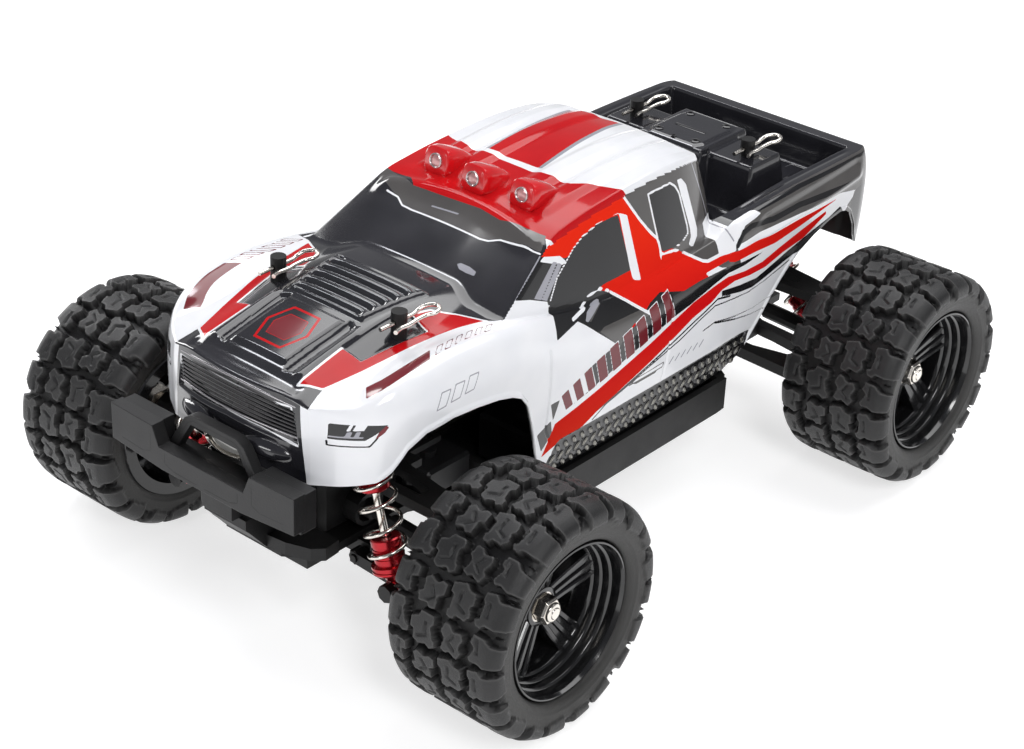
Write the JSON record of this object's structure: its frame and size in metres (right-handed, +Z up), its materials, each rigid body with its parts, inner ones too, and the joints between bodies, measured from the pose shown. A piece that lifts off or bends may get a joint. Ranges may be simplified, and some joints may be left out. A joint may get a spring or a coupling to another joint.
{
  "type": "remote control car",
  "caption": "Remote control monster truck with big lugged tyres, wishbone suspension, coil-over shocks, steering and a painted pickup body.",
  "frame": {"origin": "on the ground plane, under the middle of the whole truck's length and width", "axes": "+Z up; -Y towards the front of the truck; +X towards the truck's own left side"},
  "size_m": [0.205, 0.2854, 0.1282],
  "materials": {
    "battery_wrap": "shrink wrap",
    "black_nylon": "moulded, slightly satin",
    "bright_steel": "bright",
    "case_plastic": "fine grain",
    "gloss_black": "gloss black",
    "motor_can": "plated can",
    "red_metal": "red anodised look",
    "shell_paint": "gloss painted polycarbonate with red, black and white graphics",
    "tyre": "moulded rubber"
  },
  "bodies": {
    "chassis": {"chassis_tub": "black_nylon", "body_shell": "shell_paint", "front_bumper": "black_nylon", "front_gearbox": "black_nylon", "rear_gearbox": "black_nylon", "front_shock_tower": "black_nylon", "battery_pack": "battery_wrap", "speed_controller": "case_plastic", "drive_motor": "motor_can", "steering_servo": "case_plastic"},
    "driveshaft": {"centre_driveshaft": "bright_steel"},
    "steering_link": {"steering_link": "black_nylon"},
    "front_left_lower_arm": {"front_left_lower_arm": "black_nylon", "front_left_shock_spring": "bright_steel"},
    "front_left_upper_arm": {"front_left_upper_arm": "black_nylon"},
    "front_left_hub": {"front_left_caster_block": "black_nylon"},
    "front_left_knuckle": {"front_left_steering_knuckle": "black_nylon"},
    "front_left_tie_rod": {"front_left_tie_rod": "black_nylon"},
    "front_left_wheel": {"front_left_tyre": "tyre", "front_left_rim": "gloss_black", "front_left_wheel_axle": "bright_steel"},
    "front_left_half_shaft": {"front_left_half_shaft": "black_nylon"},
    "front_left_shock_lower": {"front_left_shock_body": "red_metal"},
    "front_left_shock_upper": {"front_left_shock_rod": "red_metal"},
    "front_left_clip": {"front_left_body_clip": "bright_steel"},
    "front_right_lower_arm": {"front_right_lower_arm": "black_nylon", "front_right_shock_spring": "bright_steel"},
    "front_right_upper_arm": {"front_right_upper_arm": "black_nylon"},
    "front_right_hub": {"front_right_caster_block": "black_nylon"},
    "front_right_knuckle": {"front_right_steering_knuckle": "black_nylon"},
    "front_right_tie_rod": {"front_right_tie_rod": "black_nylon"},
    "front_right_wheel": {"front_right_tyre": "tyre", "front_right_rim": "gloss_black", "front_right_wheel_axle": "bright_steel"},
    "front_right_half_shaft": {"front_right_half_shaft": "black_nylon"},
    "front_right_shock_lower": {"front_right_shock_body": "red_metal"},
    "front_right_shock_upper": {"front_right_shock_rod": "red_metal"},
    "front_right_clip": {"front_right_body_clip": "bright_steel"},
    "rear_left_lower_arm": {"rear_left_lower_arm": "black_nylon", "rear_left_shock_spring": "bright_steel"},
    "rear_left_upper_arm": {"rear_left_upper_arm": "black_nylon"},
    "rear_left_hub": {"rear_left_hub_carrier": "black_nylon"},
    "rear_left_wheel": {"rear_left_tyre": "tyre", "rear_left_rim": "gloss_black", "rear_left_wheel_axle": "bright_steel"},
    "rear_left_half_shaft": {"rear_left_half_shaft": "black_nylon"},
    "rear_left_shock_lower": {"rear_left_shock_body": "red_metal"},
    "rear_left_shock_upper": {"rear_left_shock_rod": "red_metal"},
    "rear_left_clip": {"rear_left_body_clip": "bright_steel"},
    "rear_right_lower_arm": {"rear_right_lower_arm": "black_nylon", "rear_right_shock_spring": "bright_steel"},
    "rear_right_upper_arm": {"rear_right_upper_arm": "black_nylon"},
    "rear_right_hub": {"rear_right_hub_carrier": "black_nylon"},
    "rear_right_wheel": {"rear_right_tyre": "tyre", "rear_right_rim": "gloss_black", "rear_right_wheel_axle": "bright_steel"},
    "rear_right_half_shaft": {"rear_right_half_shaft": "black_nylon"},
    "rear_right_shock_lower": {"rear_right_shock_body": "red_metal"},
    "rear_right_shock_upper": {"rear_right_shock_rod": "red_metal"},
    "rear_right_clip": {"rear_right_body_clip": "bright_steel"}
  },
  "joints": [
    {"name": "driveshaft_spin", "type": "hinge", "parent": "chassis", "child": "driveshaft", "pos_m": [0, 0.00625, 0.038], "axis": [0, 1, 0], "continuous": true},
    {"name": "steering", "type": "hinge", "parent": "front_left_hub", "child": "front_left_knuckle", "pos_m": [0.06, -0.09225, 0.038], "axis": [0, 0, 1], "range_deg": [-25, 25]},
    {"name": "steering_right", "type": "hinge", "parent": "front_right_hub", "child": "front_right_knuckle", "pos_m": [-0.06, -0.09225, 0.038], "axis": [0, 0, 1], "range_deg": [-26, 26]},
    {"name": "steering_link_slide", "type": "slide", "parent": "chassis", "child": "steering_link", "axis": [1, 0, 0], "range_m": [-0.009, 0.009]},
    {"name": "front_left_suspension", "type": "hinge", "parent": "chassis", "child": "front_left_lower_arm", "pos_m": [0.022, -0.09225, 0.0275], "axis": [0, -1, 0], "range_deg": [-10, 14], "deforming": ["front_left_shock_spring"]},
    {"name": "front_left_upper_arm_swing", "type": "hinge", "parent": "chassis", "child": "front_left_upper_arm", "pos_m": [0.022, -0.09225, 0.0555], "axis": [0, -1, 0], "range_deg": [-11, 15]},
    {"name": "front_left_hub_level", "type": "hinge", "parent": "front_left_lower_arm", "child": "front_left_hub", "pos_m": [0.06, -0.09225, 0.0255], "axis": [0, -1, 0], "range_deg": [-15, 11]},
    {"name": "front_left_half_shaft_swing", "type": "hinge", "parent": "chassis", "child": "front_left_half_shaft", "pos_m": [0.022, -0.09225, 0.04], "axis": [0, -1, 0], "range_deg": [-11, 15]},
    {"name": "front_left_shock_upper_swing", "type": "hinge", "parent": "chassis", "child": "front_left_shock_upper", "pos_m": [0.0335, -0.10775, 0.0735], "axis": [0, -1, 0], "range_deg": [-1, 1]},
    {"name": "front_left_shock_lower_swing", "type": "hinge", "parent": "front_left_lower_arm", "child": "front_left_shock_lower", "pos_m": [0.046, -0.10775, 0.0315], "axis": [0, -1, 0], "range_deg": [-15, 11]},
    {"name": "front_left_wheel_spin", "type": "hinge", "parent": "front_left_knuckle", "child": "front_left_wheel", "pos_m": [0.082, -0.09225, 0.038], "axis": [1, 0, 0], "continuous": true},
    {"name": "front_left_tie_rod_swing", "type": "hinge", "parent": "steering_link", "child": "front_left_tie_rod", "pos_m": [0.02, -0.07425, 0.044], "axis": [0, -1, 0], "range_deg": [-11, 15]},
    {"name": "front_left_clip_pull", "type": "slide", "parent": "chassis", "child": "front_left_clip", "axis": [0, 1, 0], "range_m": [0, 0.012]},
    {"name": "front_right_suspension", "type": "hinge", "parent": "chassis", "child": "front_right_lower_arm", "pos_m": [-0.022, -0.09225, 0.0275], "axis": [0, 1, 0], "range_deg": [-10, 14], "deforming": ["front_right_shock_spring"]},
    {"name": "front_right_upper_arm_swing", "type": "hinge", "parent": "chassis", "child": "front_right_upper_arm", "pos_m": [-0.022, -0.09225, 0.0555], "axis": [0, 1, 0], "range_deg": [-11, 15]},
    {"name": "front_right_hub_level", "type": "hinge", "parent": "front_right_lower_arm", "child": "front_right_hub", "pos_m": [-0.06, -0.09225, 0.0255], "axis": [0, 1, 0], "range_deg": [-15, 11]},
    {"name": "front_right_half_shaft_swing", "type": "hinge", "parent": "chassis", "child": "front_right_half_shaft", "pos_m": [-0.022, -0.09225, 0.04], "axis": [0, 1, 0], "range_deg": [-11, 15]},
    {"name": "front_right_shock_upper_swing", "type": "hinge", "parent": "chassis", "child": "front_right_shock_upper", "pos_m": [-0.0335, -0.10775, 0.0735], "axis": [0, 1, 0], "range_deg": [-1, 1]},
    {"name": "front_right_shock_lower_swing", "type": "hinge", "parent": "front_right_lower_arm", "child": "front_right_shock_lower", "pos_m": [-0.046, -0.10775, 0.0315], "axis": [0, 1, 0], "range_deg": [-15, 11]},
    {"name": "front_right_wheel_spin", "type": "hinge", "parent": "front_right_knuckle", "child": "front_right_wheel", "pos_m": [-0.082, -0.09225, 0.038], "axis": [1, 0, 0], "continuous": true},
    {"name": "front_right_tie_rod_swing", "type": "hinge", "parent": "steering_link", "child": "front_right_tie_rod", "pos_m": [-0.02, -0.07425, 0.044], "axis": [0, 1, 0], "range_deg": [-11, 15]},
    {"name": "front_right_clip_pull", "type": "slide", "parent": "chassis", "child": "front_right_clip", "axis": [0, 1, 0], "range_m": [0, 0.012]},
    {"name": "rear_left_suspension", "type": "hinge", "parent": "chassis", "child": "rear_left_lower_arm", "pos_m": [0.022, 0.10475, 0.0275], "axis": [0, -1, 0], "range_deg": [-10, 14], "deforming": ["rear_left_shock_spring"]},
    {"name": "rear_left_upper_arm_swing", "type": "hinge", "parent": "chassis", "child": "rear_left_upper_arm", "pos_m": [0.022, 0.10475, 0.0555], "axis": [0, -1, 0], "range_deg": [-11, 15]},
    {"name": "rear_left_hub_level", "type": "hinge", "parent": "rear_left_lower_arm", "child": "rear_left_hub", "pos_m": [0.06, 0.10475, 0.0255], "axis": [0, -1, 0], "range_deg": [-15, 11]},
    {"name": "rear_left_half_shaft_swing", "type": "hinge", "parent": "chassis", "child": "rear_left_half_shaft", "pos_m": [0.022, 0.10475, 0.04], "axis": [0, -1, 0], "range_deg": [-11, 15]},
    {"name": "rear_left_shock_upper_swing", "type": "hinge", "parent": "chassis", "child": "rear_left_shock_upper", "pos_m": [0.0175, 0.11875, 0.057], "axis": [0, -1, 0], "range_deg": [-5, 6.5]},
    {"name": "rear_left_shock_lower_swing", "type": "hinge", "parent": "rear_left_lower_arm", "child": "rear_left_shock_lower", "pos_m": [0.046, 0.11875, 0.031], "axis": [0, -1, 0], "range_deg": [-9.5, 7.5]},
    {"name": "rear_left_wheel_spin", "type": "hinge", "parent": "rear_left_hub", "child": "rear_left_wheel", "pos_m": [0.082, 0.10475, 0.038], "axis": [1, 0, 0], "continuous": true},
    {"name": "rear_left_clip_pull", "type": "slide", "parent": "chassis", "child": "rear_left_clip", "axis": [0, 1, 0], "range_m": [0, 0.012]},
    {"name": "rear_right_suspension", "type": "hinge", "parent": "chassis", "child": "rear_right_lower_arm", "pos_m": [-0.022, 0.10475, 0.0275], "axis": [0, 1, 0], "range_deg": [-10, 14], "deforming": ["rear_right_shock_spring"]},
    {"name": "rear_right_upper_arm_swing", "type": "hinge", "parent": "chassis", "child": "rear_right_upper_arm", "pos_m": [-0.022, 0.10475, 0.0555], "axis": [0, 1, 0], "range_deg": [-11, 15]},
    {"name": "rear_right_hub_level", "type": "hinge", "parent": "rear_right_lower_arm", "child": "rear_right_hub", "pos_m": [-0.06, 0.10475, 0.0255], "axis": [0, 1, 0], "range_deg": [-15, 11]},
    {"name": "rear_right_half_shaft_swing", "type": "hinge", "parent": "chassis", "child": "rear_right_half_shaft", "pos_m": [-0.022, 0.10475, 0.04], "axis": [0, 1, 0], "range_deg": [-11, 15]},
    {"name": "rear_right_shock_upper_swing", "type": "hinge", "parent": "chassis", "child": "rear_right_shock_upper", "pos_m": [-0.0175, 0.11875, 0.057], "axis": [0, 1, 0], "range_deg": [-5, 6.5]},
    {"name": "rear_right_shock_lower_swing", "type": "hinge", "parent": "rear_right_lower_arm", "child": "rear_right_shock_lower", "pos_m": [-0.046, 0.11875, 0.031], "axis": [0, 1, 0], "range_deg": [-9.5, 7.5]},
    {"name": "rear_right_wheel_spin", "type": "hinge", "parent": "rear_right_hub", "child": "rear_right_wheel", "pos_m": [-0.082, 0.10475, 0.038], "axis": [1, 0, 0], "continuous": true},
    {"name": "rear_right_clip_pull", "type": "slide", "parent": "chassis", "child": "rear_right_clip", "axis": [0, 1, 0], "range_m": [0, 0.012]}
  ],
  "couplings": [
    {"joint": "steering_right", "follows": "steering", "ratio": 1},
    {"joint": "steering_link_slide", "follows": "steering", "m_per_rad": -0.018},
    {"joint": "front_left_upper_arm_swing", "follows": "front_left_suspension", "ratio": 1},
    {"joint": "front_left_hub_level", "follows": "front_left_suspension", "ratio": -1},
    {"joint": "front_left_half_shaft_swing", "follows": "front_left_suspension", "ratio": 1},
    {"joint": "front_left_shock_upper_swing", "follows": "front_left_suspension", "ratio": 0.046},
    {"joint": "front_left_shock_lower_swing", "follows": "front_left_suspension", "ratio": -0.954},
    {"joint": "front_left_tie_rod_swing", "follows": "front_left_suspension", "ratio": 1},
    {"joint": "front_right_upper_arm_swing", "follows": "front_right_suspension", "ratio": 1},
    {"joint": "front_right_hub_level", "follows": "front_right_suspension", "ratio": -1},
    {"joint": "front_right_half_shaft_swing", "follows": "front_right_suspension", "ratio": 1},
    {"joint": "front_right_shock_upper_swing", "follows": "front_right_suspension", "ratio": 0.046},
    {"joint": "front_right_shock_lower_swing", "follows": "front_right_suspension", "ratio": -0.954},
    {"joint": "front_right_tie_rod_swing", "follows": "front_right_suspension", "ratio": 1},
    {"joint": "rear_left_upper_arm_swing", "follows": "rear_left_suspension", "ratio": 1},
    {"joint": "rear_left_hub_level", "follows": "rear_left_suspension", "ratio": -1},
    {"joint": "rear_left_half_shaft_swing", "follows": "rear_left_suspension", "ratio": 1},
    {"joint": "rear_left_shock_upper_swing", "follows": "rear_left_suspension", "ratio": 0.394},
    {"joint": "rear_left_shock_lower_swing", "follows": "rear_left_suspension", "ratio": -0.606},
    {"joint": "rear_right_upper_arm_swing", "follows": "rear_right_suspension", "ratio": 1},
    {"joint": "rear_right_hub_level", "follows": "rear_right_suspension", "ratio": -1},
    {"joint": "rear_right_half_shaft_swing", "follows": "rear_right_suspension", "ratio": 1},
    {"joint": "rear_right_shock_upper_swing", "follows": "rear_right_suspension", "ratio": 0.394},
    {"joint": "rear_right_shock_lower_swing", "follows": "rear_right_suspension", "ratio": -0.606}
  ]
}
